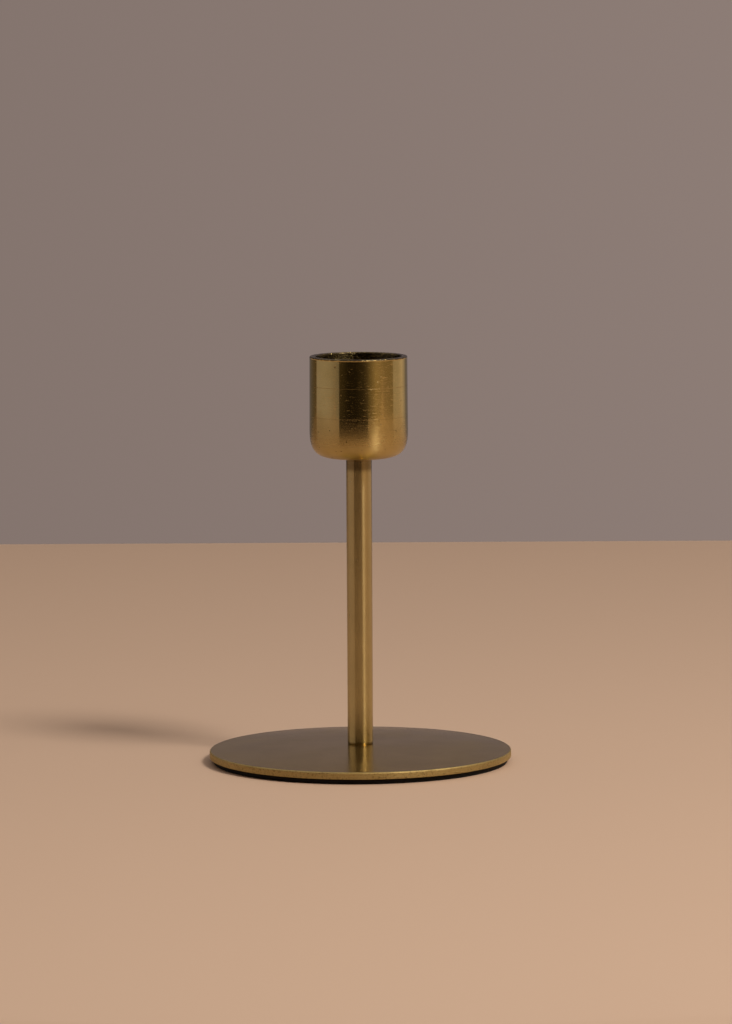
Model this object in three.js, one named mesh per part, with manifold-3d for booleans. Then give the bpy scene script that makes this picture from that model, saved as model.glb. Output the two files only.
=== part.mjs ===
// A holder for one dinner candle: a crowned round plate, a slim stem and a straight-sided cup.
// The three are turned from brass and drawn together by one M4 screw at each end of the stem.
// Millimetres, +Z up, origin at the middle of the underside of the rubber foot.

import * as THREE from 'three';
import { mergeVertices } from 'three/addons/utils/BufferGeometryUtils.js';
import Module from 'manifold-3d';

const wasm = await Module();
wasm.setup();

// Thin rubber foot, stuck under the plate
const FOOT_DIAMETER = 78;
const FOOT_THICKNESS = 1.4;

// Plate, thickest in the middle, with a countersunk hole
const PLATE_DIAMETER = 80;
const PLATE_EDGE_HEIGHT = 1.9;
const PLATE_CROWN = 1.5;
const PLATE_EDGE_RADIUS = 0.45;
const PLATE_HOLE_DIAMETER = 4.6;

// Stem, a solid rod with a blind hole in each end
const STEM_DIAMETER = 6.8;
const STEM_LENGTH = 76.2;
const STEM_CHAMFER = 0.3;
const STEM_HOLE_DIAMETER = 4.2;
const STEM_HOLE_DEPTH = 10;
const DRILL_POINT_DEPTH = 1.2;

// Cup, a little narrower at the rim, its side easing into the bottom
const CUP_HEIGHT = 27;
const CUP_DIAMETER = 26.1;
const CUP_RIM_DIAMETER = 25.8;
const CUP_BORE_DIAMETER = 22.8;
const CUP_FLOOR = 2;
const CUP_CORNER_HEIGHT = 9;
const CUP_CORNER_POWER = 3.5;
const CUP_INNER_CORNER_RADIUS = 2;
const CUP_RIM_RADIUS = 0.3;
const CUP_HOLE_DIAMETER = 5;

// M4 screws and washer, their threads left plain
const SCREW_DIAMETER = 4;
const SCREW_LENGTH = 12;
const SCREW_TIP_CHAMFER = 0.5;
const SINK_HEAD_DIAMETER = 7.8;
const SINK_HEAD_LAND = 0.2;
const SINK_BELOW_FACE = 0.1;
const SINK_CLEARANCE = 0.2;
const PAN_HEAD_DIAMETER = 8;
const PAN_HEAD_HEIGHT = 2.8;
const PAN_HEAD_RADIUS = 1.5;
const WASHER_DIAMETER = 9;
const WASHER_HOLE_DIAMETER = 4.4;
const WASHER_THICKNESS = 0.8;
const RECESS_SPAN = 4.4;
const RECESS_WIDTH = 1.1;
const RECESS_DEPTH = 1.4;

// Facets round a large, a middling and a small turned piece
const LARGE = 80;
const MIDDLING = 48;
const SMALL = 32;

// Heights that follow from the sizes
const PLATE_BOTTOM = FOOT_THICKNESS;
const PLATE_EDGE_TOP = PLATE_BOTTOM + PLATE_EDGE_HEIGHT;
const STEM_BOTTOM = PLATE_EDGE_TOP + PLATE_CROWN;
const STEM_TOP = STEM_BOTTOM + STEM_LENGTH;
const CUP_TOP = STEM_TOP + CUP_HEIGHT;
const WASHER_BOTTOM = STEM_TOP + CUP_FLOOR;
const PAN_HEAD_BOTTOM = WASHER_BOTTOM + WASHER_THICKNESS;

const QUARTER = Math.PI / 2;

const BRASS = { color: 0xb08a52, roughness: 0.32, metalness: 1 };
const STEEL = { color: 0xb9b6ae, roughness: 0.35, metalness: 1 };
const RUBBER = { color: 0x0d0c0b, roughness: 0.9, metalness: 0 };

function piece(name, geometry, look) {
  const mesh = new THREE.Mesh(geometry, new THREE.MeshStandardMaterial(look));
  mesh.name = name;
  return mesh;
}

// [radius, height] points of an arc about a centre, both ends included.
function arc(radius, height, size, from, to, steps) {
  const points = [];
  for (let i = 0; i <= steps; i++) {
    const angle = from + ((to - from) * i) / steps;
    points.push([radius + size * Math.cos(angle), height + size * Math.sin(angle)]);
  }
  return points;
}

// [radius, height] points from a flat bottom to a straight side, squarer than an arc: a quarter
// of a superellipse about a centre, with a power of 2 for an arc.
function easedCorner(radius, height, size, power, steps) {
  const points = [];
  for (let i = 0; i <= steps; i++) {
    const angle = (QUARTER * i) / steps;
    const outwards = size * Math.sin(angle) ** (2 / power);
    const downwards = size * Math.cos(angle) ** (2 / power);
    points.push([radius + outwards, height - downwards]);
  }
  return points;
}

// A solid turned about the Z axis. Its profile of [radius, height] points runs anticlockwise,
// and starts and ends on the axis or is closed here.
function turned(profile, facets) {
  const points = profile.map(([radius, height]) => new THREE.Vector2(radius, height));
  if (profile[0][0] > 0) points.push(points[0].clone());
  return new THREE.LatheGeometry(points, facets).rotateX(QUARTER);
}

function toSolid(geometry) {
  const bare = geometry.clone();
  bare.deleteAttribute('normal');
  bare.deleteAttribute('uv');
  const merged = mergeVertices(bare);
  const vertProperties = merged.attributes.position.array;
  const triVerts = new Uint32Array(merged.index.array);
  return new wasm.Manifold(new wasm.Mesh({ numProp: 3, vertProperties, triVerts }));
}

function toGeometry(solid) {
  const { vertProperties, triVerts } = solid.getMesh();
  const geometry = new THREE.BufferGeometry();
  geometry.setAttribute('position', new THREE.BufferAttribute(vertProperties, 3));
  geometry.setIndex(new THREE.BufferAttribute(triVerts, 1));
  geometry.computeVertexNormals();
  return geometry;
}

// Cuts the cross for a screwdriver into a head, through its flat face at the given height.
function withCross(geometry, face) {
  const along = new THREE.BoxGeometry(RECESS_SPAN, RECESS_WIDTH, 2 * RECESS_DEPTH);
  const across = new THREE.BoxGeometry(RECESS_WIDTH, RECESS_SPAN, 2 * RECESS_DEPTH);
  const cross = toSolid(along.translate(0, 0, face)).add(toSolid(across.translate(0, 0, face)));
  return toGeometry(toSolid(geometry).subtract(cross));
}

function rubberFoot() {
  const radius = FOOT_DIAMETER / 2;
  const profile = [
    [0, 0],
    [radius, 0],
    [radius, FOOT_THICKNESS],
    [0, FOOT_THICKNESS],
  ];
  return piece('rubber_foot', turned(profile, LARGE), RUBBER);
}

// The top is an arc from the rounded edge up to a flat land under the stem.
function basePlate() {
  const radius = PLATE_DIAMETER / 2;
  const edge = radius - PLATE_EDGE_RADIUS;
  const land = STEM_DIAMETER / 2;
  const hole = PLATE_HOLE_DIAMETER / 2;
  const sinkMouth = SINK_HEAD_DIAMETER / 2 + SINK_HEAD_LAND + SINK_BELOW_FACE + SINK_CLEARANCE;
  const span = edge - land;
  const crownRadius = (span * span + PLATE_CROWN * PLATE_CROWN) / (2 * PLATE_CROWN);
  const crownAngle = Math.asin(span / crownRadius);
  const profile = [
    [sinkMouth, PLATE_BOTTOM],
    [radius, PLATE_BOTTOM],
    ...arc(edge, PLATE_EDGE_TOP - PLATE_EDGE_RADIUS, PLATE_EDGE_RADIUS, 0, QUARTER, 3),
    ...arc(land, STEM_BOTTOM - crownRadius, crownRadius, QUARTER - crownAngle, QUARTER, 8).slice(1),
    [hole, STEM_BOTTOM],
    [hole, PLATE_BOTTOM + sinkMouth - hole],
  ];
  return piece('base_plate', turned(profile, LARGE), BRASS);
}

function baseScrew() {
  const face = PLATE_BOTTOM + SINK_BELOW_FACE;
  const head = SINK_HEAD_DIAMETER / 2;
  const shank = SCREW_DIAMETER / 2;
  const tip = face + SCREW_LENGTH;
  const profile = [
    [0, face],
    [head, face],
    [head, face + SINK_HEAD_LAND],
    [shank, face + SINK_HEAD_LAND + head - shank],
    [shank, tip - SCREW_TIP_CHAMFER],
    [shank - SCREW_TIP_CHAMFER, tip],
    [0, tip],
  ];
  return piece('base_screw', withCross(turned(profile, SMALL), face), STEEL);
}

function stem() {
  const radius = STEM_DIAMETER / 2;
  const hole = STEM_HOLE_DIAMETER / 2;
  const lowEnd = STEM_BOTTOM + STEM_HOLE_DEPTH;
  const highEnd = STEM_TOP - STEM_HOLE_DEPTH;
  const profile = [
    [0, lowEnd + DRILL_POINT_DEPTH],
    [hole, lowEnd],
    [hole, STEM_BOTTOM],
    [radius - STEM_CHAMFER, STEM_BOTTOM],
    [radius, STEM_BOTTOM + STEM_CHAMFER],
    [radius, STEM_TOP - STEM_CHAMFER],
    [radius - STEM_CHAMFER, STEM_TOP],
    [hole, STEM_TOP],
    [hole, highEnd],
    [0, highEnd - DRILL_POINT_DEPTH],
  ];
  return piece('stem', turned(profile, MIDDLING), BRASS);
}

function candleCup() {
  const radius = CUP_DIAMETER / 2;
  const rim = CUP_RIM_DIAMETER / 2;
  const bore = CUP_BORE_DIAMETER / 2;
  const hole = CUP_HOLE_DIAMETER / 2;
  const floor = STEM_TOP + CUP_FLOOR;
  const rimCentre = CUP_TOP - CUP_RIM_RADIUS;
  const innerCorner = bore - CUP_INNER_CORNER_RADIUS;
  const cornerCentre = radius - CUP_CORNER_HEIGHT;
  const profile = [
    [hole, STEM_TOP],
    ...easedCorner(cornerCentre, STEM_TOP + CUP_CORNER_HEIGHT, CUP_CORNER_HEIGHT, CUP_CORNER_POWER, 12),
    ...arc(rim - CUP_RIM_RADIUS, rimCentre, CUP_RIM_RADIUS, 0, QUARTER, 2),
    ...arc(bore + CUP_RIM_RADIUS, rimCentre, CUP_RIM_RADIUS, QUARTER, 2 * QUARTER, 2),
    ...arc(innerCorner, floor + CUP_INNER_CORNER_RADIUS, CUP_INNER_CORNER_RADIUS, 0, -QUARTER, 4),
    [hole, floor],
  ];
  return piece('candle_cup', turned(profile, LARGE), BRASS);
}

function cupWasher() {
  const profile = [
    [WASHER_HOLE_DIAMETER / 2, WASHER_BOTTOM],
    [WASHER_DIAMETER / 2, WASHER_BOTTOM],
    [WASHER_DIAMETER / 2, PAN_HEAD_BOTTOM],
    [WASHER_HOLE_DIAMETER / 2, PAN_HEAD_BOTTOM],
  ];
  return piece('cup_washer', turned(profile, SMALL), STEEL);
}

function cupScrew() {
  const face = PAN_HEAD_BOTTOM + PAN_HEAD_HEIGHT;
  const head = PAN_HEAD_DIAMETER / 2;
  const shank = SCREW_DIAMETER / 2;
  const tip = PAN_HEAD_BOTTOM - SCREW_LENGTH;
  const profile = [
    [0, tip],
    [shank - SCREW_TIP_CHAMFER, tip],
    [shank, tip + SCREW_TIP_CHAMFER],
    [shank, PAN_HEAD_BOTTOM],
    [head, PAN_HEAD_BOTTOM],
    ...arc(head - PAN_HEAD_RADIUS, face - PAN_HEAD_RADIUS, PAN_HEAD_RADIUS, 0, QUARTER, 4),
    [0, face],
  ];
  return piece('cup_screw', withCross(turned(profile, SMALL), face), STEEL);
}

const holder = new THREE.Group();
holder.add(rubberFoot(), basePlate(), baseScrew(), stem(), candleCup(), cupWasher(), cupScrew());

export default holder;
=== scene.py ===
import math

import bmesh
import bpy
from bpy.props import FloatProperty, FloatVectorProperty, IntProperty, PointerProperty
from mathutils import Euler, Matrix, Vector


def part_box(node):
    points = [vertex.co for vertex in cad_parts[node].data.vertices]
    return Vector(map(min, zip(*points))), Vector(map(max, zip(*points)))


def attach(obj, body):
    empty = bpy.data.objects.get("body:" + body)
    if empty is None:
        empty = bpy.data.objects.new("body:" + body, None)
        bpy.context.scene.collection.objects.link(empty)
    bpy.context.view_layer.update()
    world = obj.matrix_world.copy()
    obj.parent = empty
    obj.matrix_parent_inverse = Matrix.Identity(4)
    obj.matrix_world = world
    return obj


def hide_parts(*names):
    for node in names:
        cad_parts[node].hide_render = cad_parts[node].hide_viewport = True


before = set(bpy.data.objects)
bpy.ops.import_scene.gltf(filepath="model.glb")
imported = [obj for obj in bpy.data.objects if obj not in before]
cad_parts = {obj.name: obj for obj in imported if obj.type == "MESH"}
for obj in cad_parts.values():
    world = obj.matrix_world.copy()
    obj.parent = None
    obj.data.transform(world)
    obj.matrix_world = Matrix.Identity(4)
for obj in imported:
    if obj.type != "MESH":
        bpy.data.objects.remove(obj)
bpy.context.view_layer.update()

bl_info = {
    "name": "Dinner Candle Holder",
    "version": (1, 0, 0),
    "blender": (4, 5, 0),
    "location": "3D View > Sidebar > Candle Holder",
    "description": "Models a turned brass holder for one dinner candle, piece by piece",
    "category": "Add Mesh",
}

MM = 0.001


# ---------------------------------------------------------------------------------------------
# Sizes that come from the frame, in metres
# ---------------------------------------------------------------------------------------------

def across(node):
    """The diameter of a turned node."""
    low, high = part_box(node)
    return high.x - low.x


FOOT_LOW, FOOT_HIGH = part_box("rubber_foot")
PLATE_LOW, PLATE_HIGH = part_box("base_plate")
STEM_LOW, STEM_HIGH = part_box("stem")
CUP_LOW, CUP_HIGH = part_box("candle_cup")
WASHER_LOW, WASHER_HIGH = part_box("cup_washer")
PAN_LOW, PAN_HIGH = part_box("cup_screw")
SINK_LOW, SINK_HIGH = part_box("base_screw")


# ---------------------------------------------------------------------------------------------
# Sizes and colours that a user may change
# ---------------------------------------------------------------------------------------------

def length(name, description, millimetres):
    return FloatProperty(name=name, description=description, default=millimetres * MM,
                         min=0.0, unit="LENGTH", precision=5)


def colour(name, description, value):
    return FloatVectorProperty(name=name, description=description, default=value, size=3,
                               min=0.0, max=1.0, subtype="COLOR")


class HolderSizes(bpy.types.PropertyGroup):
    """Sizes that the frame doesn't give."""

    steps: IntProperty(name="Steps round", description="Flats round a large turned piece",
                       default=192, min=24)
    edge_height: length("Plate edge", "Height of the plate at its edge", 1.9)
    plate_edge: length("Plate edge round", "Rounding of the plate's top edge", 0.45)
    plate_burr: length("Plate lower edge", "Break of the plate's lower edge", 0.12)
    plate_hole: length("Plate hole", "Clearance hole through the plate", 4.6)
    sink_mouth: length("Countersink", "Mouth of the plate's countersink", 8.8)
    stem_chamfer: length("Stem chamfer", "Chamfer on the stem's ends", 0.3)
    stem_hole: length("Stem hole", "Blind hole in each end of the stem", 4.2)
    hole_depth: length("Stem hole depth", "Depth of the stem's holes", 10.0)
    drill_point: length("Drill point", "Depth of the cone at the end of a hole", 1.2)
    cup_rim: length("Cup rim", "Outside of the cup at its rim", 25.8)
    cup_bore: length("Cup bore", "Inside of the cup", 22.8)
    cup_floor: length("Cup floor", "Thickness of the cup's floor", 2.0)
    cup_corner: length("Cup corner", "Height of the cup's eased lower edge", 9.0)
    cup_inner_corner: length("Inner corner", "Rounding inside the cup", 2.0)
    rim_round: length("Rim rounding", "Rounding of the rim's edges", 0.3)
    cup_hole: length("Cup hole", "Hole through the cup's floor", 5.0)
    screw_size: length("Screw size", "Outside diameter of the screw threads", 4.0)
    screw_pitch: length("Screw pitch", "Height of one turn of thread", 0.7)
    pan_height: length("Pan head", "Height of the pan head", 2.8)
    pan_round: length("Pan head round", "Rounding of the pan head's top edge", 1.5)
    recess_span: length("Recess span", "Width across the cross recess", 4.4)
    recess_width: length("Recess slot", "Width of one slot of the cross recess", 1.1)
    recess_depth: length("Recess depth", "Depth of the cross recess", 1.4)
    washer_hole: length("Washer hole", "Hole through the washer", 4.4)
    foot_round: length("Foot round", "Rounding of the rubber foot's edges", 0.25)


class HolderColours(bpy.types.PropertyGroup):
    """Colours of the metals, the rubber and the studio."""

    brass: colour("Brass", "Turned brass as it leaves the lathe", (0.71, 0.540, 0.220))
    brass_dull: colour("Dull brass", "Brass that has begun to tarnish", (0.62, 0.462, 0.172))
    brass_stem: colour("Stem brass", "Drawn brass, greener than the turned pieces",
                       (0.56, 0.442, 0.206))
    brass_stem_dull: colour("Dull stem brass", "Drawn brass that has begun to tarnish",
                            (0.4928, 0.3890, 0.1813))
    # This brown is also mixed in as painted shade on the cup's lower corner and foot, the stem's ends
    # and the plate's edge
    tarnish: colour("Tarnish", "Brown specks and lines on the brass", (0.15, 0.095, 0.040))
    # This dark colour is also painted shade on the cup's rim and in its bore
    grime_and_shade: colour("Grime", "Dark dirt in the torn rim and the bore", (0.050, 0.037, 0.024))
    steel: colour("Zinc", "Zinc plated steel", (0.56, 0.56, 0.55))
    steel_warm: colour("Passivated zinc", "Warm tint in the zinc plating", (0.60, 0.55, 0.44))
    rubber: colour("Rubber", "Black rubber", (0.004, 0.004, 0.004))
    rubber_dust: colour("Rubber dust", "Grey bloom on the rubber", (0.012, 0.011, 0.010))
    table: colour("Table", "Pale table top", (0.620, 0.442, 0.322))
    table_shade: colour("Table shade", "Slightly darker patches of the table top",
                        (0.54, 0.37, 0.26))
    wall: colour("Wall", "Grey wall behind the table", (0.222, 0.170, 0.150))
    wall_lit: colour("Lit wall", "The wall towards the window", (0.272, 0.210, 0.186))
    sky: colour("Ceiling", "Soft light from above", (0.55, 0.50, 0.45))
    black_cloth: colour("Black cloth", "Face of the black card", (0.012, 0.011, 0.010))


# ---------------------------------------------------------------------------------------------
# Shader building
# ---------------------------------------------------------------------------------------------

class Wire:
    """A shader socket that can be used in arithmetic."""

    def __init__(self, finish, socket):
        self.finish = finish
        self.socket = socket

    def maths(self, operation, first, second):
        return self.finish.node("ShaderNodeMath", {"operation": operation}, {0: first, 1: second})

    def __add__(self, other):
        return self.maths("ADD", self, other)

    def __radd__(self, other):
        return self.maths("ADD", other, self)

    def __mul__(self, other):
        return self.maths("MULTIPLY", self, other)

    def __rmul__(self, other):
        return self.maths("MULTIPLY", other, self)

    def __or__(self, other):
        """The larger of two masks."""
        return self.maths("MAXIMUM", self, other)

    def __ror__(self, other):
        return self.maths("MAXIMUM", other, self)


class Finish:
    """The nodes of one material, or of the world, built one by one."""

    def __init__(self, owner):
        owner.use_nodes = True
        self.owner = owner
        self.tree = owner.node_tree
        self.tree.nodes.clear()

    def node(self, kind, settings=None, inputs=None, output=0):
        """Adds a node, first its settings, then its sockets, and returns one of its outputs."""
        made = self.tree.nodes.new(kind)
        for name, value in (settings or {}).items():
            if name == "stops":
                set_stops(made.color_ramp, value)
            else:
                setattr(made, name, value)
        for socket, value in (inputs or {}).items():
            if isinstance(value, Wire):
                self.tree.links.new(value.socket, made.inputs[socket])
            else:
                made.inputs[socket].default_value = value
        return Wire(self, made.outputs[output]) if made.outputs else None

    def place(self, scale=(1.0, 1.0, 1.0), turn=(0.0, 0.0, 0.0)):
        """Object coordinates, turned and then scaled, for a pattern."""
        coordinates = self.node("ShaderNodeTexCoord", output="Object")
        inputs = {"Vector": coordinates, "Rotation": turn, "Scale": scale}
        return self.node("ShaderNodeMapping", {}, inputs)

    def part_of(self, vector, axis):
        """One of a vector's three numbers."""
        return self.node("ShaderNodeSeparateXYZ", {}, {0: vector}, axis)

    def outwards(self, vector):
        """A vector laid flat, square to the Z axis."""
        return self.node("ShaderNodeVectorMath", {"operation": "MULTIPLY"},
                         {0: vector, 1: (1.0, 1.0, 0.0)})

    def radius(self, vector):
        """The distance from the Z axis."""
        return self.node("ShaderNodeVectorMath", {"operation": "LENGTH"},
                         {0: self.outwards(vector)}, "Value")

    def rings(self, per_metre, drift):
        """Coordinates that run outwards from the Z axis, with a slow drift round it."""
        plain = self.place()
        heading = self.node("ShaderNodeVectorMath", {"operation": "NORMALIZE"},
                            {0: self.outwards(plain)})
        return self.node("ShaderNodeCombineXYZ", {},
                         {"X": self.radius(plain) * per_metre,
                          "Y": self.part_of(heading, "X") * drift,
                          "Z": self.part_of(heading, "Y") * drift})

    def noise(self, vector, scale=1.0, detail=2.0, roughness=0.5):
        inputs = {"Vector": vector, "Scale": scale, "Detail": detail, "Roughness": roughness}
        return self.node("ShaderNodeTexNoise", {}, inputs)

    def between(self, value, low, high, to_low=0.0, to_high=1.0):
        """A value moved from one range to another and kept inside it."""
        inputs = {"Value": value, "From Min": low, "From Max": high,
                  "To Min": to_low, "To Max": to_high}
        return self.node("ShaderNodeMapRange", {"clamp": True}, inputs)

    def band(self, value, low, high, soft):
        """1 from low to high, fading to 0 over a soft edge on each side."""
        return self.between(value, low - soft, low) * self.between(value, high + soft, high)

    def mix(self, factor, first, second):
        """One colour turning into another."""
        return self.node("ShaderNodeMix", {"data_type": "RGBA"}, {0: factor, 6: first, 7: second}, 2)

    def bump(self, height, depth, normal=None):
        """Relief, from a height of 0 to 1 that stands for a depth in metres."""
        inputs = {"Height": height, "Distance": depth, "Strength": 1.0}
        if normal:
            inputs["Normal"] = normal
        return self.node("ShaderNodeBump", {}, inputs)

    def surface(self, **inputs):
        """Ends the material in a Principled shader."""
        named = {name.replace("_", " "): value for name, value in inputs.items()}
        shader = self.node("ShaderNodeBsdfPrincipled", {}, named)
        self.node("ShaderNodeOutputMaterial", {}, {"Surface": shader})
        return self.owner


def set_stops(ramp, stops):
    """Gives a colour ramp its stops, from the lowest to the highest."""
    while len(ramp.elements) < len(stops):
        ramp.elements.new(1.0)
    for element, (position, value) in zip(ramp.elements, stops):
        element.position = position
        element.color = value


def paint(value):
    """A property's colour with full opacity."""
    return (*value, 1.0)


# ---------------------------------------------------------------------------------------------
# Materials
# ---------------------------------------------------------------------------------------------

# Where each mark on the brass starts and is full: heights from the piece's nearer end, radii from
# the axis for the bore, and distances in from the edge for the plate
# The rim, corner and foot bands and the bore radii also set where painted shade lies on the cup
CUP_RIM_BAND = (0.5 * MM, 0.3 * MM)
CUP_CORNER_BAND = (12.5 * MM, 4.0 * MM)
CUP_FOOT_SHADE_BAND = (1.6 * MM, 0.2 * MM)
CUP_TURNED_LINES = (11.25 * MM, 19.30 * MM)
CUP_LINE_WIDTH = 0.10 * MM
CUP_LINE_SOFT = 0.08 * MM
BORE_RADII = (11.6 * MM, 11.5 * MM)
BORE_FLOOR_BAND = (1.85 * MM, 1.95 * MM)
# The stem's top band and foot band set where painted shade lies: under the cup and where it meets the
# plate
STEM_NECK_SHADE_BAND = (3.8 * MM, 2.6 * MM)
STEM_FOOT_SHADE_BAND = (0.8 * MM, 0.4 * MM)
# The plate's edge band also sets where painted shade darkens the edge
PLATE_EDGE_BAND = (0.35 * MM, 0.05 * MM)
PLATE_UNDER_BAND = 0.05 * MM
# Depths of the relief, from its lowest to its highest point
TURNED_DEPTH = 0.001 * MM
TORN_DEPTH = 0.16 * MM
GROUND_DEPTH = 0.002 * MM
GRAIN_DEPTH = 0.0002 * MM
FACED_DEPTH = 0.003 * MM
EDGE_DEPTH = 0.11 * MM
ZINC_DEPTH = 0.008 * MM
PEBBLE_DEPTH = 0.06 * MM
# Turns a brushed shine so that it spreads along the Z axis
BRUSHED_ROUND = 0.25


def brass(finish, colours, marks, bright, dull):
    """The brass colour: two tones that drift over the piece, with fine brown lines."""
    patch = finish.between(finish.noise(finish.place(), 90.0, 3.0, 0.55), 0.35, 0.65)
    tone = finish.mix(patch, paint(bright), paint(dull))
    line = finish.between(marks, 0.62, 0.80, 0.0, 0.35)
    return finish.mix(line, tone, paint(colours.tarnish))


def cup_brass(colours):
    """Turned brass: fine lathe marks, a rougher rim and bore, and painted shade low on the cup and
    inside it.
    """
    finish = Finish(bpy.data.materials.new("cup_brass"))
    plain = finish.place()
    fine = finish.noise(finish.place((60.0, 60.0, 9000.0)), 1.0, 3.0, 0.65)
    broad = finish.noise(finish.place((25.0, 25.0, 1100.0)), 1.0, 2.0, 0.5)
    grain = finish.noise(finish.place((500.0, 500.0, 3200.0)), 1.0, 3.0, 0.65)
    specks = finish.between(finish.noise(plain, 1100.0, 1.0, 0.4), 0.745, 0.78)

    torn = finish.noise(plain, 1500.0, 3.0, 0.7)

    height = finish.part_of(plain, "Z")
    rim = finish.between(height, *(CUP_HIGH.z - drop for drop in CUP_RIM_BAND))
    corner = finish.between(height, *(CUP_LOW.z + rise for rise in CUP_CORNER_BAND))
    foot = finish.between(height, *(CUP_LOW.z + rise for rise in CUP_FOOT_SHADE_BAND))
    above_floor = finish.between(height, *(CUP_LOW.z + rise for rise in BORE_FLOOR_BAND))
    rough = rim | finish.between(finish.radius(plain), *BORE_RADII) * above_floor
    lines = 0.0
    for rise in CUP_TURNED_LINES:
        start = CUP_LOW.z + rise - CUP_LINE_WIDTH / 2
        lines = lines | finish.band(height, start, start + CUP_LINE_WIDTH, CUP_LINE_SOFT)

    tone = brass(finish, colours, fine, colours.brass, colours.brass_dull)
    # Painted shade: the lower corner and the foot are darkened towards tarnish; the specks and turned
    # lines are real marks
    stain_and_shade = specks * 0.7 + lines * 0.3 + corner * 0.27 + foot * 0.40
    tone = finish.mix(stain_and_shade, tone, paint(colours.tarnish))
    # Dark dirt in the torn rim, with painted shade on the rim and in the bore
    dirt = rough * finish.between(torn, 0.50, 0.64, 0.92, 0.35)
    tone = finish.mix(dirt, tone, paint(colours.grime_and_shade))
    scratch = finish.between(grain, 0.59, 0.72)
    roughness = (0.06 + scratch * 0.17 + lines * 0.12 + corner * 0.22 + rough * 0.13
                 + specks * 0.3)
    relief = finish.bump(fine * 0.4 + broad * 0.6, TURNED_DEPTH)
    relief = finish.bump(torn * rough, TORN_DEPTH, relief)
    return finish.surface(Base_Color=tone, Metallic=1.0, Roughness=roughness, Anisotropic=1.0,
                          Anisotropic_Rotation=BRUSHED_ROUND, Normal=relief)


def stem_brass(colours):
    """Drawn brass rod, ground round with a fine belt, with painted shade under the cup and at its
    foot.
    """
    finish = Finish(bpy.data.materials.new("stem_brass"))
    plain = finish.place()
    fine = finish.noise(finish.place((140.0, 140.0, 7000.0)), 1.0, 3.0, 0.65)
    broad = finish.noise(finish.place((60.0, 60.0, 900.0)), 1.0, 2.0, 0.5)
    grain = finish.noise(plain, 3000.0, 2.0, 0.6)
    specks = finish.between(finish.noise(plain, 1300.0, 1.0, 0.4), 0.74, 0.79)
    height = finish.part_of(plain, "Z")
    neck_shade = finish.between(height, *(STEM_HIGH.z - drop for drop in STEM_NECK_SHADE_BAND))
    foot = finish.between(height, *(STEM_LOW.z + rise for rise in STEM_FOOT_SHADE_BAND))

    tone = brass(finish, colours, fine, colours.brass_stem, colours.brass_stem_dull)
    # Painted shade: the stem's top under the cup and its foot on the plate are darkened towards
    # tarnish; the specks are real
    stain_and_shade = specks * 0.6 + neck_shade * 0.70 + foot * 0.6
    tone = finish.mix(stain_and_shade, tone, paint(colours.tarnish))
    roughness = 0.19 + finish.between(grain, 0.50, 0.66) * 0.04 + specks * 0.2
    relief = finish.bump(fine * 0.5 + broad * 0.5, GROUND_DEPTH)
    relief = finish.bump(grain, GRAIN_DEPTH, relief)
    return finish.surface(Base_Color=tone, Metallic=1.0, Roughness=roughness, Anisotropic=1.0,
                          Anisotropic_Rotation=BRUSHED_ROUND, Normal=relief)


def plate_brass(colours):
    """Satin brass: rings from the lathe on the face, a coarser edge with painted shade, faint smudges.
    """
    finish = Finish(bpy.data.materials.new("plate_brass"))
    plain = finish.place()
    fine = finish.noise(finish.rings(5200.0, 3.0), 1.0, 3.0, 0.6)
    broad = finish.noise(finish.rings(420.0, 1.2), 1.0, 2.0, 0.5)
    smudge = finish.between(finish.noise(plain, 55.0, 4.0, 0.6), 0.42, 0.68)
    grain = finish.noise(plain, 1900.0, 3.0, 0.65)
    scored = finish.noise(finish.place((240.0, 240.0, 5200.0)), 1.0, 2.0, 0.6)
    edge = finish.between(finish.radius(plain), *(PLATE_HIGH.x - inwards
                                                  for inwards in PLATE_EDGE_BAND))
    under = finish.between(finish.part_of(plain, "Z"), PLATE_LOW.z + PLATE_UNDER_BAND,
                           PLATE_LOW.z)

    tone = brass(finish, colours, fine, colours.brass, colours.brass_dull)
    nicks = finish.between(grain, 0.52, 0.68) * edge
    # Painted shade: the whole edge is darkened towards tarnish; the nicks are real marks
    tone = finish.mix(edge * 0.36 + nicks * 0.45, tone, paint(colours.tarnish))
    roughness = 0.17 + smudge * 0.06 + edge * 0.40 + under * 0.15
    relief = finish.bump(fine * 0.5 + broad * 0.5, FACED_DEPTH)
    relief = finish.bump(grain * (0.02 + edge) + scored * edge * 0.6, EDGE_DEPTH, relief)
    return finish.surface(Base_Color=tone, Metallic=1.0, Roughness=roughness, Normal=relief)


def zinc_steel(colours, name):
    """Zinc plated steel with a warm passivated tint in patches."""
    finish = Finish(bpy.data.materials.new(name))
    plain = finish.place()
    patch = finish.between(finish.noise(plain, 420.0, 3.0, 0.6), 0.40, 0.62)
    grain = finish.noise(plain, 5200.0, 2.0, 0.6)
    wear = finish.noise(finish.rings(6000.0, 2.0), 1.0, 3.0, 0.6)
    tone = finish.mix(patch, paint(colours.steel), paint(colours.steel_warm))
    roughness = 0.30 + patch * 0.12 + finish.between(wear, 0.5, 0.7) * 0.12
    relief = finish.bump(grain * 0.5 + wear * 0.5, ZINC_DEPTH)
    return finish.surface(Base_Color=tone, Metallic=1.0, Roughness=roughness, Normal=relief)


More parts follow.
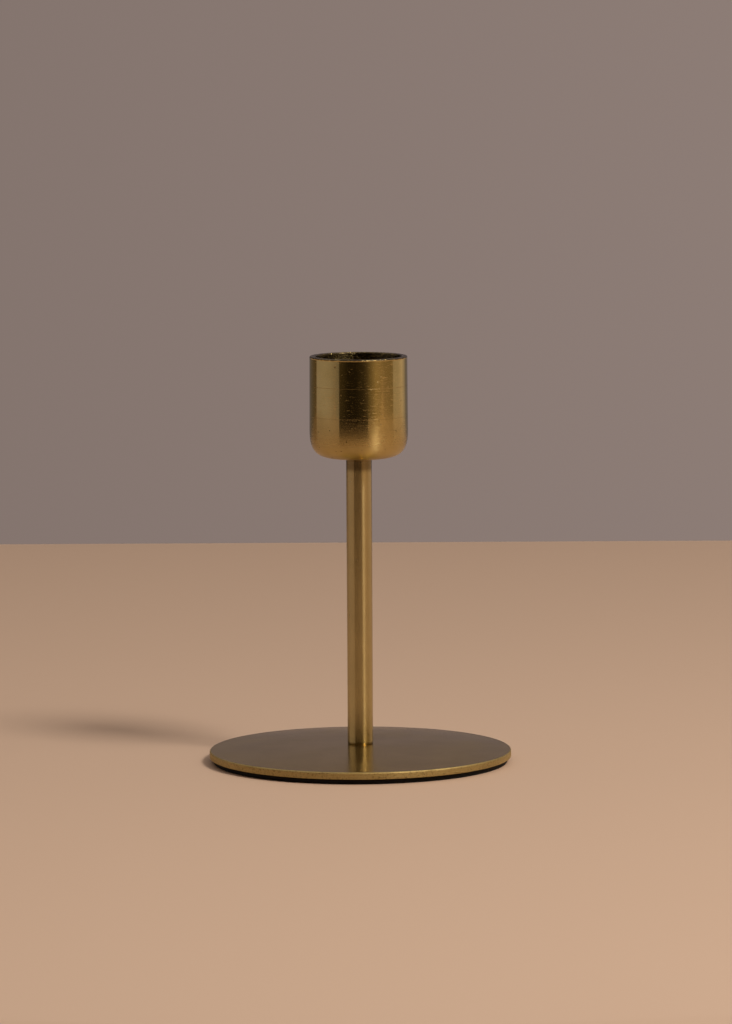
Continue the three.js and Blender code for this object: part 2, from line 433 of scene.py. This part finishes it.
def black_rubber(colours):
    """Moulded rubber: a pebbled skin with a grey bloom in the hollows."""
    finish = Finish(bpy.data.materials.new("black_rubber"))
    plain = finish.place()
    pebble = finish.node("ShaderNodeTexVoronoi", {"feature": "SMOOTH_F1"},
                         {"Vector": plain, "Scale": 1500.0, "Smoothness": 0.6})
    bloom = finish.between(finish.noise(plain, 160.0, 4.0, 0.6), 0.45, 0.70)
    tone = finish.mix(bloom * finish.between(pebble, 0.3, 0.7), paint(colours.rubber),
                      paint(colours.rubber_dust))
    relief = finish.bump(pebble, PEBBLE_DEPTH)
    return finish.surface(Base_Color=tone, Roughness=0.72 + bloom * 0.15, Specular_IOR_Level=0.2,
                          Normal=relief)


def table_paint(colours):
    """A plain pale top, very slightly uneven."""
    finish = Finish(bpy.data.materials.new("table_top"))
    cloud = finish.between(finish.noise(finish.place(), 3.0, 2.0, 0.5), 0.3, 0.7)
    tone = finish.mix(cloud * 0.06, paint(colours.table), paint(colours.table_shade))
    return finish.surface(Base_Color=tone, Roughness=0.62, Specular_IOR_Level=0.25)


def black_cloth(colours):
    """Cloth that gives back almost no light."""
    finish = Finish(bpy.data.materials.new("black_cloth"))
    return finish.surface(Base_Color=paint(colours.black_cloth), Roughness=0.9)


def tent_cloth():
    """The glow of the studio's cards, which changes round the object."""
    finish = Finish(bpy.data.materials.new("tent_cloth"))
    from_camera = finish.place(turn=(0.0, 0.0, math.radians(90)))
    around = finish.node("ShaderNodeTexGradient", {"gradient_type": "RADIAL"},
                         {"Vector": from_camera})
    stops = [(0.5 + heading / 360, paint([part * level for part in tint]))
             for heading, level, tint in CARDS]
    glow = finish.node("ShaderNodeValToRGB", {"stops": stops}, {"Fac": around})
    light = finish.node("ShaderNodeEmission", {}, {"Color": glow})
    finish.node("ShaderNodeOutputMaterial", {}, {"Surface": light})
    return finish.owner


# ---------------------------------------------------------------------------------------------
# Bench work: selecting and shaping the piece that is open in edit mode
# ---------------------------------------------------------------------------------------------

# How close counts as the same place: for selecting, cutting and merging
NEAR = 0.02 * MM
CUT_NEAR = 0.0001 * MM
DOUBLE_NEAR = 0.0005 * MM
WIND_NEAR = 0.001 * MM


def near(value, target):
    return abs(value - target) < NEAR


def pick(kind, test):
    """Selects only the corners, edges or faces of the open piece that pass a test."""
    bpy.ops.mesh.select_mode(type=kind)
    bpy.ops.mesh.select_all(action="DESELECT")
    mesh = bmesh.from_edit_mesh(bpy.context.edit_object.data)
    for item in {"VERT": mesh.verts, "EDGE": mesh.edges, "FACE": mesh.faces}[kind]:
        if test(item):
            item.select_set(True)
    mesh.select_flush_mode()
    bmesh.update_edit_mesh(bpy.context.edit_object.data)


def pick_ring(radius, height):
    """Selects the edges of one circle round the Z axis."""
    pick("EDGE", lambda edge: all(near(v.co.xy.length, radius) and near(v.co.z, height)
                                  for v in edge.verts))


def pick_cap(height):
    """Selects the one flat round face at a height."""
    pick("FACE", lambda face: len(face.verts) > 4 and near(face.calc_center_median().z, height))


def inset_cap(by, lift=0.0):
    """Insets the selected round face and moves the smaller one along Z."""
    bpy.ops.mesh.inset(thickness=by, depth=0.0)
    if lift:
        bpy.ops.transform.translate(value=(0.0, 0.0, lift))


def sink_cap(lift):
    """Extrudes the selected round face along Z."""
    bpy.ops.mesh.extrude_region_move(TRANSFORM_OT_translate={"value": (0.0, 0.0, lift)})


def round_ring(radius, height, by, segments, fullness=0.5):
    """Rounds the circular edge at a radius and height. A fullness over 0.5 eases into the round."""
    pick_ring(radius, height)
    bpy.ops.mesh.bevel(offset=by, segments=segments, profile=fullness, affect="EDGES")


def score(height):
    """Adds a ring of edges at a height, so that the shading stays flat up to a corner."""
    bpy.ops.mesh.select_all(action="SELECT")
    bpy.ops.mesh.bisect(plane_co=(0.0, 0.0, height), plane_no=(0.0, 0.0, 1.0),
                        threshold=CUT_NEAR)


def break_through(*heights):
    """Removes the round faces at two heights and joins the holes that they leave."""
    for height in heights:
        pick_cap(height)
        bpy.ops.mesh.delete(type="ONLY_FACE")
    pick("EDGE", lambda edge: edge.is_boundary)
    bpy.ops.mesh.bridge_edge_loops()


def heading_of(place):
    """The angle of a place round the Z axis, 0 towards the camera, growing to the right."""
    return math.atan2(place.x, -place.y)


def start_bar(name, radius, low, high, steps):
    """Starts a turned piece as a round bar along Z and opens it in edit mode."""
    if bpy.context.mode != "OBJECT":
        raise RuntimeError("another piece is still open")
    bpy.ops.object.select_all(action="DESELECT")
    bpy.ops.mesh.primitive_cylinder_add(vertices=steps, radius=radius, depth=high - low,
                                        location=(0.0, 0.0, (low + high) / 2))
    piece = bpy.context.active_object
    piece.name = name
    piece.data.name = name
    bpy.ops.object.transform_apply(location=True, rotation=True, scale=True)
    bpy.ops.object.mode_set(mode="EDIT")
    return piece


def close_piece(piece, smooth=32.0):
    """Merges doubles, turns the faces outwards and leaves edit mode."""
    bpy.ops.mesh.select_mode(type="FACE")
    bpy.ops.mesh.select_all(action="SELECT")
    bpy.ops.mesh.remove_doubles(threshold=DOUBLE_NEAR)
    bpy.ops.mesh.normals_make_consistent(inside=False)
    mesh = bmesh.from_edit_mesh(piece.data)
    open_edges = sum(1 for edge in mesh.edges if not edge.is_manifold)
    bpy.ops.object.mode_set(mode="OBJECT")
    if open_edges:
        raise RuntimeError(f"{piece.name} has {open_edges} open edges")
    bpy.ops.object.shade_smooth_by_angle(angle=math.radians(smooth))


def fit_piece(piece, node, material):
    """Finishes a piece and gives it the CAD node's place in the assembly."""
    piece.data.materials.clear()
    piece.data.materials.append(material)
    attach(piece, "root")
    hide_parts(node)


# ---------------------------------------------------------------------------------------------
# Pieces
# ---------------------------------------------------------------------------------------------

CROWN_RINGS = 18
FOOT_RINGS = 6
FOOT_MARGIN = 1.0 * MM
CORNER_FULLNESS = 0.67
RIM_TEAR = 0.03 * MM
# Narrow bands beside a round or a hole, which keep the shading of the larger face even
EDGE_BAND = 0.15 * MM
HOLE_BREAK = 0.1 * MM
SINK_BAND = 1.0 * MM
FLOOR_BAND = 0.2 * MM
CORNER_GAP = 0.3 * MM
RIM_GAPS = (0.2 * MM, 0.6 * MM)
BURR_GAP = 0.1 * MM
# Small rounds and lands on the fasteners, and how far a shank reaches into its head
WASHER_ROUND = 0.18 * MM
WASHER_HOLE_ROUND = 0.15 * MM
WASHER_BURR = 0.05 * MM
HEAD_BURR = 0.12 * MM
HEAD_BAND = 0.15 * MM
SINK_LAND = 0.2 * MM
SINK_BURR = 0.06 * MM
SHANK_OVERLAP = 0.2 * MM


class MakePlate(bpy.types.Operator):
    """Turns the crowned foot plate, with its countersunk hole"""

    bl_idname = "candle_holder.make_plate"
    bl_label = "Foot Plate"

    def execute(self, context):
        sizes, colours = context.scene.holder_sizes, context.scene.holder_colours
        outer = across("base_plate") / 2
        low = PLATE_LOW.z
        edge = low + sizes.edge_height
        top = PLATE_HIGH.z
        land = across("stem") / 2
        hole = sizes.plate_hole / 2
        mouth = sizes.sink_mouth / 2
        piece = start_bar("turned_plate", outer, low, edge, sizes.steps)

        pick_cap(edge)
        crown_from = outer - sizes.plate_edge - EDGE_BAND
        inset_cap(outer - crown_from)
        run = crown_from - land
        rise = top - edge
        arc = (run ** 2 + rise ** 2) / (2 * rise)
        reached = edge
        for ring in range(1, CROWN_RINGS + 1):
            left = run * (1 - ring / CROWN_RINGS)
            height = top - arc + math.sqrt(arc ** 2 - left ** 2)
            inset_cap(run / CROWN_RINGS, height - reached)
            reached = height
        inset_cap(land - hole - HOLE_BREAK)
        inset_cap(HOLE_BREAK, -HOLE_BREAK)

        pick_cap(low)
        inset_cap(outer - mouth - SINK_BAND)
        inset_cap(SINK_BAND)
        inset_cap(mouth - hole, mouth - hole)
        break_through(low + mouth - hole, top - HOLE_BREAK)

        round_ring(outer, edge, sizes.plate_edge, segments=6)
        round_ring(outer, low, sizes.plate_burr, segments=2)
        score(low + sizes.plate_burr + BURR_GAP)
        score(edge - sizes.plate_edge - BURR_GAP)
        close_piece(piece)
        fit_piece(piece, "base_plate", plate_brass(colours))
        return {"FINISHED"}


def drill_end(end, inward, chamfer, hole, depth, point):
    """Drills a blind hole into one end of the open bar. inward is 1 upwards, -1 downwards."""
    radius = across("stem") / 2
    pick_cap(end)
    inset_cap(radius - hole - chamfer)
    inset_cap(chamfer / 2)
    inset_cap(chamfer / 2, inward * chamfer / 2)
    sink_cap(inward * (depth - chamfer / 2))
    sink_cap(inward * point)
    bpy.ops.mesh.merge(type="CENTER")


class MakeStem(bpy.types.Operator):
    """Cuts the stem from round rod, chamfers it and drills both ends"""

    bl_idname = "candle_holder.make_stem"
    bl_label = "Stem"

    def execute(self, context):
        sizes, colours = context.scene.holder_sizes, context.scene.holder_colours
        radius = across("stem") / 2
        piece = start_bar("turned_stem", radius, STEM_LOW.z, STEM_HIGH.z, sizes.steps // 2)
        drilled = (sizes.stem_chamfer, sizes.stem_hole / 2, sizes.hole_depth, sizes.drill_point)
        drill_end(STEM_LOW.z, 1, *drilled)
        drill_end(STEM_HIGH.z, -1, *drilled)
        for end, inward in ((STEM_LOW.z, 1), (STEM_HIGH.z, -1)):
            round_ring(radius, end, sizes.stem_chamfer, segments=3)
            score(end + inward * (sizes.stem_chamfer + EDGE_BAND))
        close_piece(piece)
        fit_piece(piece, "stem", stem_brass(colours))
        return {"FINISHED"}


class MakeCup(bpy.types.Operator):
    """Turns the candle cup: straight sides, rounded lower edge, bored inside"""

    bl_idname = "candle_holder.make_cup"
    bl_label = "Candle Cup"

    def execute(self, context):
        sizes, colours = context.scene.holder_sizes, context.scene.holder_colours
        outer = across("candle_cup") / 2
        rim = sizes.cup_rim / 2
        bore = sizes.cup_bore / 2
        hole = sizes.cup_hole / 2
        low, high = CUP_LOW.z, CUP_HIGH.z
        floor = low + sizes.cup_floor
        piece = start_bar("turned_cup", outer, low, high, sizes.steps)

        pick_cap(high)
        bpy.ops.transform.resize(value=(rim / outer, rim / outer, 1.0))
        inset_cap(rim - bore)
        sink_cap(floor - high)
        inset_cap(bore - sizes.cup_inner_corner - hole - FLOOR_BAND)
        inset_cap(sizes.cup_inner_corner)
        inset_cap(FLOOR_BAND)
        pick_cap(low)
        inset_cap(outer - hole - FLOOR_BAND)
        inset_cap(FLOOR_BAND)
        break_through(low, floor)

        round_ring(outer, low, sizes.cup_corner, segments=32, fullness=CORNER_FULLNESS)
        round_ring(bore, floor, sizes.cup_inner_corner, segments=10)
        round_ring(rim, high, sizes.rim_round, segments=5)
        round_ring(bore, high, sizes.rim_round, segments=5)
        score(low + sizes.cup_corner + CORNER_GAP)
        for gap in RIM_GAPS:
            score(high - sizes.rim_round - gap)
        pick("VERT", lambda corner: corner.co.z > high - sizes.rim_round * 0.7)
        bpy.ops.transform.translate(value=(0.0, 0.0, -RIM_TEAR))
        bpy.ops.transform.vertex_random(offset=RIM_TEAR, uniform=0.3, normal=0.6, seed=5)
        close_piece(piece)
        fit_piece(piece, "candle_cup", cup_brass(colours))
        return {"FINISHED"}


class MakeWasher(bpy.types.Operator):
    """Stamps the flat washer that lies on the cup's floor"""

    bl_idname = "candle_holder.make_washer"
    bl_label = "Washer"

    def execute(self, context):
        sizes, colours = context.scene.holder_sizes, context.scene.holder_colours
        outer = across("cup_washer") / 2
        hole = sizes.washer_hole / 2
        low, high = WASHER_LOW.z, WASHER_HIGH.z
        piece = start_bar("flat_washer", outer, low, high, sizes.steps // 2)
        for end in (low, high):
            pick_cap(end)
            inset_cap(outer - hole)
        break_through(low, high)
        round_ring(outer, high, WASHER_ROUND, segments=4)
        round_ring(hole, high, WASHER_HOLE_ROUND, segments=3)
        round_ring(outer, low, WASHER_BURR, segments=1)
        close_piece(piece)
        fit_piece(piece, "cup_washer", zinc_steel(colours, "washer_zinc"))
        return {"FINISHED"}


class MakeFoot(bpy.types.Operator):
    """Moulds the thin rubber foot under the plate"""

    bl_idname = "candle_holder.make_foot"
    bl_label = "Rubber Foot"

    def execute(self, context):
        sizes, colours = context.scene.holder_sizes, context.scene.holder_colours
        outer = across("rubber_foot") / 2
        low, high = FOOT_LOW.z, FOOT_HIGH.z
        piece = start_bar("rubber_disc", outer, low, high, sizes.steps)
        for end in (low, high):
            pick_cap(end)
            inset_cap(FOOT_MARGIN)
            for ring in range(FOOT_RINGS):
                inset_cap((outer - FOOT_MARGIN) / (FOOT_RINGS + 0.5))
        for end in (low, high):
            round_ring(outer, end, sizes.foot_round, segments=4)
        close_piece(piece)
        fit_piece(piece, "rubber_foot", black_rubber(colours))
        return {"FINISHED"}


# The thread's shape, in parts of its pitch, and the taper of a cross recess
THREAD_DEPTH = 0.61
THREAD_CREST = 0.16
THREAD_RUN_IN = 1.31
THREAD_STEPS = 36
RECESS_TAPER = 0.72


def add_thread(size, pitch, low, high):
    """Winds a thread round the Z axis and cuts it flat at both ends, as a closed solid."""
    depth = THREAD_DEPTH * pitch
    start = low - THREAD_RUN_IN * pitch
    bpy.ops.object.select_all(action="DESELECT")
    bpy.ops.mesh.primitive_plane_add(size=pitch, rotation=(math.radians(90), 0.0, 0.0),
                                     location=(size / 2 - pitch / 2, 0.0, start))
    thread = bpy.context.active_object
    bpy.ops.object.transform_apply(location=True, rotation=True, scale=True)
    bpy.ops.object.mode_set(mode="EDIT")
    pick("FACE", lambda face: True)
    bpy.ops.mesh.delete(type="ONLY_FACE")
    pick("EDGE", lambda edge: all(corner.co.x < size / 2 - pitch / 2 for corner in edge.verts))
    bpy.ops.mesh.delete(type="EDGE")
    pick("VERT", lambda corner: corner.co.x > size / 2 - pitch / 2)
    bpy.ops.transform.resize(value=(1.0, 1.0, THREAD_CREST),
                             center_override=(size / 2, 0.0, start))
    pick("VERT", lambda corner: corner.co.x < size / 2 - pitch / 2)
    bpy.ops.transform.translate(value=(pitch - depth, 0.0, 0.0))
    bpy.ops.object.mode_set(mode="OBJECT")

    wind = thread.modifiers.new("wind", "SCREW")
    wind.angle = math.radians(360)
    wind.steps = wind.render_steps = THREAD_STEPS
    wind.screw_offset = pitch
    wind.iterations = math.ceil((high - low) / pitch) + 3
    wind.use_normal_calculate = True
    bpy.ops.object.modifier_apply(modifier=wind.name)

    bpy.ops.object.mode_set(mode="EDIT")
    bpy.ops.mesh.select_all(action="SELECT")
    bpy.ops.mesh.remove_doubles(threshold=WIND_NEAR)
    bpy.ops.mesh.quads_convert_to_tris()
    for height, upwards in ((low, -1.0), (high, 1.0)):
        bpy.ops.mesh.select_all(action="SELECT")
        bpy.ops.mesh.bisect(plane_co=(0.0, 0.0, height), plane_no=(0.0, 0.0, upwards),
                            use_fill=True, clear_outer=True, threshold=CUT_NEAR)
    bpy.ops.mesh.select_all(action="SELECT")
    bpy.ops.mesh.normals_make_consistent(inside=False)
    bpy.ops.object.mode_set(mode="OBJECT")
    return thread


def combine(piece, other, operation):
    """Joins another solid to a piece, or cuts it away, and removes it."""
    change = piece.modifiers.new("combine", "BOOLEAN")
    change.operation = operation
    change.solver = "EXACT"
    change.object = other
    bpy.context.view_layer.objects.active = piece
    bpy.ops.object.modifier_apply(modifier=change.name)
    bpy.ops.object.select_all(action="DESELECT")
    other.select_set(True)
    bpy.ops.object.delete()
    piece.select_set(True)


def cut_cross(piece, face, inward, sizes):
    """Cuts a cross recess, narrower at the bottom, into a screw's face."""
    for span_x, span_y in ((sizes.recess_span, sizes.recess_width),
                           (sizes.recess_width, sizes.recess_span)):
        bpy.ops.object.select_all(action="DESELECT")
        bpy.ops.mesh.primitive_cube_add(size=1.0, location=(0.0, 0.0, face),
                                        scale=(span_x, span_y, 2 * sizes.recess_depth))
        cutter = bpy.context.active_object
        bpy.ops.object.transform_apply(location=True, rotation=True, scale=True)
        bpy.ops.object.mode_set(mode="EDIT")
        pick("VERT", lambda corner: (corner.co.z - face) * inward > 0)
        bpy.ops.transform.resize(value=(RECESS_TAPER, RECESS_TAPER, 1.0),
                                 center_override=(0.0, 0.0, face))
        bpy.ops.object.mode_set(mode="OBJECT")
        combine(piece, cutter, "DIFFERENCE")


class MakeScrews(bpy.types.Operator):
    """Makes the pan head screw in the cup and the countersunk screw under the plate"""

    bl_idname = "candle_holder.make_screws"
    bl_label = "Screws"

    def execute(self, context):
        sizes, colours = context.scene.holder_sizes, context.scene.holder_colours
        steel = zinc_steel(colours, "screw_zinc")
        steps = sizes.steps // 2
        shank = sizes.screw_size / 2

        under_head = PAN_HIGH.z - sizes.pan_height
        head = across("cup_screw") / 2
        pan = start_bar("pan_screw", head, under_head, PAN_HIGH.z, steps)
        round_ring(head, PAN_HIGH.z, sizes.pan_round, segments=10)
        round_ring(head, under_head, HEAD_BURR, segments=2)
        pick_cap(PAN_HIGH.z)
        inset_cap(HEAD_BAND)
        bpy.ops.object.mode_set(mode="OBJECT")
        cut_cross(pan, PAN_HIGH.z, -1, sizes)
        self.add_shank(pan, sizes, PAN_LOW.z, under_head + SHANK_OVERLAP)
        fit_piece(pan, "cup_screw", steel)

        head = across("base_screw") / 2
        cone_from = SINK_LOW.z + SINK_LAND
        sink = start_bar("sink_screw", head, SINK_LOW.z, cone_from, steps)
        pick_cap(cone_from)
        sink_cap(head - shank)
        bpy.ops.transform.resize(value=(shank / head, shank / head, 1.0),
                                 center_override=(0.0, 0.0, SINK_LOW.z))
        round_ring(head, SINK_LOW.z, SINK_BURR, segments=2)
        bpy.ops.object.mode_set(mode="OBJECT")
        cut_cross(sink, SINK_LOW.z, 1, sizes)
        self.add_shank(sink, sizes, cone_from + head - shank - SHANK_OVERLAP, SINK_HIGH.z)
        fit_piece(sink, "base_screw", steel)
        return {"FINISHED"}

    def add_shank(self, screw, sizes, low, high):
        """Joins a threaded shank to a head and closes the screw."""
        thread = add_thread(sizes.screw_size, sizes.screw_pitch, low, high)
        combine(screw, thread, "UNION")
        bpy.ops.object.mode_set(mode="EDIT")
        close_piece(screw)


# ---------------------------------------------------------------------------------------------
# Stage
# ---------------------------------------------------------------------------------------------

DAYLIGHT = (1.0, 0.87, 0.85)
LAMPLIGHT = (1.0, 0.72, 0.42)
WARM_WHITE = (1.0, 0.82, 0.70)
DUSK = (1.0, 0.785, 0.78)
# The studio round the object: heading in degrees from the camera, to the right, brightness, tint
CARDS = (
    (-180, 0.17, DUSK), (-160, 0.12, DAYLIGHT), (-118, 0.09, LAMPLIGHT),
    (-115, 0.31, DAYLIGHT), (-90, 0.33, DAYLIGHT), (-70, 0.31, DAYLIGHT), (-47, 0.19, DAYLIGHT),
    (-45, 0.055, LAMPLIGHT), (-24, 0.016, LAMPLIGHT), (-6, 0.016, LAMPLIGHT),
    (12, 0.04, LAMPLIGHT), (23, 0.10, LAMPLIGHT), (33, 0.20, LAMPLIGHT), (42, 0.30, LAMPLIGHT),
    (50, 0.27, LAMPLIGHT), (62, 0.20, LAMPLIGHT), (88, 0.20, LAMPLIGHT),
    (90, 0.35, WARM_WHITE), (108, 0.38, WARM_WHITE), (122, 0.50, WARM_WHITE),
    (135, 0.34, WARM_WHITE), (146, 0.16, DAYLIGHT), (180, 0.17, DUSK),
)
TENT_RADIUS = 2.2
TENT_LOW = -0.6
TENT_HIGH = 1.6
FLAG_RADIUS = 0.35
FLAG_HEIGHT = 0.06
FLAG_HEADINGS = (-46, 22)
FLAG_STEPS = 180
TENT_STEPS = 90
TABLE_FRONT = -0.57
TABLE_BACK = 0.493
TABLE_HALF_WIDTH = 0.88
TABLE_THICKNESS = 0.03
TABLE_ROUND = 1.5 * MM
# Where the wall turns lighter and where the ceiling shows, as parts of a unit direction
WALL_TURN = (-0.1, 0.1)
CEILING_HEIGHTS = (0.38, 0.66)
CEILING_DEPTHS = (-0.55, 0.15)

CAMERA_DISTANCE = 1.526
CAMERA_HEIGHT = 0.240
CAMERA_ASIDE = 0.0018
CAMERA_PITCH = 6.484
CAMERA_ROLL = 0.3
CAMERA_LENS = 204.3
CAMERA_SENSOR = 36.0
CAMERA_REACH = 20.0

# Lamps: name, distance, heading to the right of the camera, height above the table top, size, watts
LAMPS = (
    ("key_light", 1.35, 49.0, 49.0, 0.32, 9.7),
    ("window_light", 1.30, 50.0, 46.0, 0.80, 2.4),
)
LAMP_TINT = (1.0, 0.93, 0.85)


class SetStage(bpy.types.Operator):
    """Sets the table top, the studio's cards and light, and the camera"""

    bl_idname = "candle_holder.set_stage"
    bl_label = "Stage"

    def execute(self, context):
        colours = context.scene.holder_colours
        self.set_table(colours)
        self.set_tent()
        self.set_flag(colours)
        self.set_world(context.scene, colours)
        self.set_lamps()
        self.set_camera(context.scene)
        return {"FINISHED"}

    def set_table(self, colours):
        bpy.ops.object.select_all(action="DESELECT")
        depth = TABLE_BACK - TABLE_FRONT
        bpy.ops.mesh.primitive_cube_add(size=1.0, scale=(2 * TABLE_HALF_WIDTH, depth, TABLE_THICKNESS),
                                        location=(0.0, TABLE_FRONT + depth / 2, -TABLE_THICKNESS / 2))
        table = bpy.context.active_object
        table.name = "table_top"
        bpy.ops.object.transform_apply(location=True, rotation=True, scale=True)
        bpy.ops.object.mode_set(mode="EDIT")
        pick("EDGE", lambda edge: all(corner.co.z > -NEAR for corner in edge.verts))
        bpy.ops.mesh.bevel(offset=TABLE_ROUND, segments=3, affect="EDGES")
        bpy.ops.object.mode_set(mode="OBJECT")
        table.data.materials.append(table_paint(colours))

    def set_tent(self):
        bpy.ops.object.select_all(action="DESELECT")
        bpy.ops.mesh.primitive_cylinder_add(vertices=TENT_STEPS, radius=TENT_RADIUS,
                                            depth=TENT_HIGH - TENT_LOW, end_fill_type="NOTHING",
                                            location=(0.0, 0.0, (TENT_LOW + TENT_HIGH) / 2))
        tent = bpy.context.active_object
        tent.name = "studio_cards"
        bpy.ops.object.transform_apply(location=True, rotation=True, scale=True)
        tent.data.materials.append(tent_cloth())
        tent.visible_camera = False

    def set_flag(self, colours):
        """Stands a low black card in front, which only the shiny pieces see: painted shade in their
        reflections.
        """
        bpy.ops.object.select_all(action="DESELECT")
        bpy.ops.mesh.primitive_cylinder_add(vertices=FLAG_STEPS, radius=FLAG_RADIUS, depth=FLAG_HEIGHT,
                                            end_fill_type="NOTHING",
                                            location=(0.0, 0.0, FLAG_HEIGHT / 2))
        flag = bpy.context.active_object
        flag.name = "reflected_shade_card"
        bpy.ops.object.transform_apply(location=True, rotation=True, scale=True)
        bpy.ops.object.mode_set(mode="EDIT")
        first, last = (math.radians(heading) for heading in FLAG_HEADINGS)
        pick("FACE", lambda face: not first < heading_of(face.calc_center_median()) < last)
        bpy.ops.mesh.delete(type="FACE")
        bpy.ops.object.mode_set(mode="OBJECT")
        flag.data.materials.append(black_cloth(colours))
        flag.visible_camera = flag.visible_diffuse = flag.visible_shadow = False

    def set_world(self, scene, colours):
        world = bpy.data.worlds.new("studio")
        scene.world = world
        finish = Finish(world)
        direction = finish.node("ShaderNodeTexCoord", output="Generated")
        aside, depth, height = (finish.part_of(direction, axis) for axis in "XYZ")
        lit = finish.between(aside, *WALL_TURN)
        wall = finish.mix(lit, paint(colours.wall), paint(colours.wall_lit))
        above = finish.between(height, *CEILING_HEIGHTS) * finish.between(depth, *CEILING_DEPTHS)
        tone = finish.mix(above, wall, paint(colours.sky))
        light = finish.node("ShaderNodeBackground", {}, {"Color": tone, "Strength": 1.0})
        finish.node("ShaderNodeOutputWorld", {}, {"Surface": light})

    def set_lamps(self):
        for name, distance, heading, height, size, power in LAMPS:
            heading, height = math.radians(heading), math.radians(height)
            place = (distance * math.cos(height) * math.sin(heading),
                     -distance * math.cos(height) * math.cos(heading),
                     distance * math.sin(height))
            turn = Euler((math.radians(90) - height, 0.0, heading))
            bpy.ops.object.light_add(type="AREA", location=place, rotation=turn)
            lamp = bpy.context.active_object
            lamp.name = name
            lamp.data.shape = "DISK"
            lamp.data.size = size
            lamp.data.energy = power
            lamp.data.color = LAMP_TINT
            lamp.visible_camera = False

    def set_camera(self, scene):
        upright = Euler((math.radians(90 - CAMERA_PITCH), 0.0, 0.0)).to_matrix()
        turn = (upright @ Euler((0.0, 0.0, -math.radians(CAMERA_ROLL))).to_matrix()).to_euler()
        bpy.ops.object.camera_add(location=(CAMERA_ASIDE, -CAMERA_DISTANCE, CAMERA_HEIGHT),
                                  rotation=turn)
        camera = bpy.context.active_object
        camera.name = "camera"
        camera.data.lens = CAMERA_LENS
        camera.data.sensor_width = CAMERA_SENSOR
        camera.data.clip_end = CAMERA_REACH
        scene.camera = camera
        scene.view_settings.view_transform = "Standard"


# ---------------------------------------------------------------------------------------------
# Panel and run
# ---------------------------------------------------------------------------------------------

PIECES = (MakePlate, MakeStem, MakeCup, MakeWasher, MakeFoot, MakeScrews)


class HolderPanel(bpy.types.Panel):
    """Lists the pieces and their sizes"""

    bl_idname = "VIEW3D_PT_candle_holder"
    bl_label = "Candle Holder"
    bl_space_type = "VIEW_3D"
    bl_region_type = "UI"
    bl_category = "Candle Holder"

    def draw(self, context):
        for step in (*PIECES, SetStage):
            self.layout.operator(step.bl_idname, text=step.bl_label)
        for group in (context.scene.holder_sizes, context.scene.holder_colours):
            box = self.layout.box()
            for name in group.__annotations__:
                box.prop(group, name)


CLASSES = (HolderSizes, HolderColours, *PIECES, SetStage, HolderPanel)


def register():
    for made in CLASSES:
        bpy.utils.register_class(made)
    bpy.types.Scene.holder_sizes = PointerProperty(type=HolderSizes)
    bpy.types.Scene.holder_colours = PointerProperty(type=HolderColours)


def unregister():
    del bpy.types.Scene.holder_colours
    del bpy.types.Scene.holder_sizes
    for made in reversed(CLASSES):
        bpy.utils.unregister_class(made)


def main():
    register()
    for step in (*PIECES, SetStage):
        group, name = step.bl_idname.split(".")
        getattr(getattr(bpy.ops, group), name)()


if __name__ == "__main__":
    main()
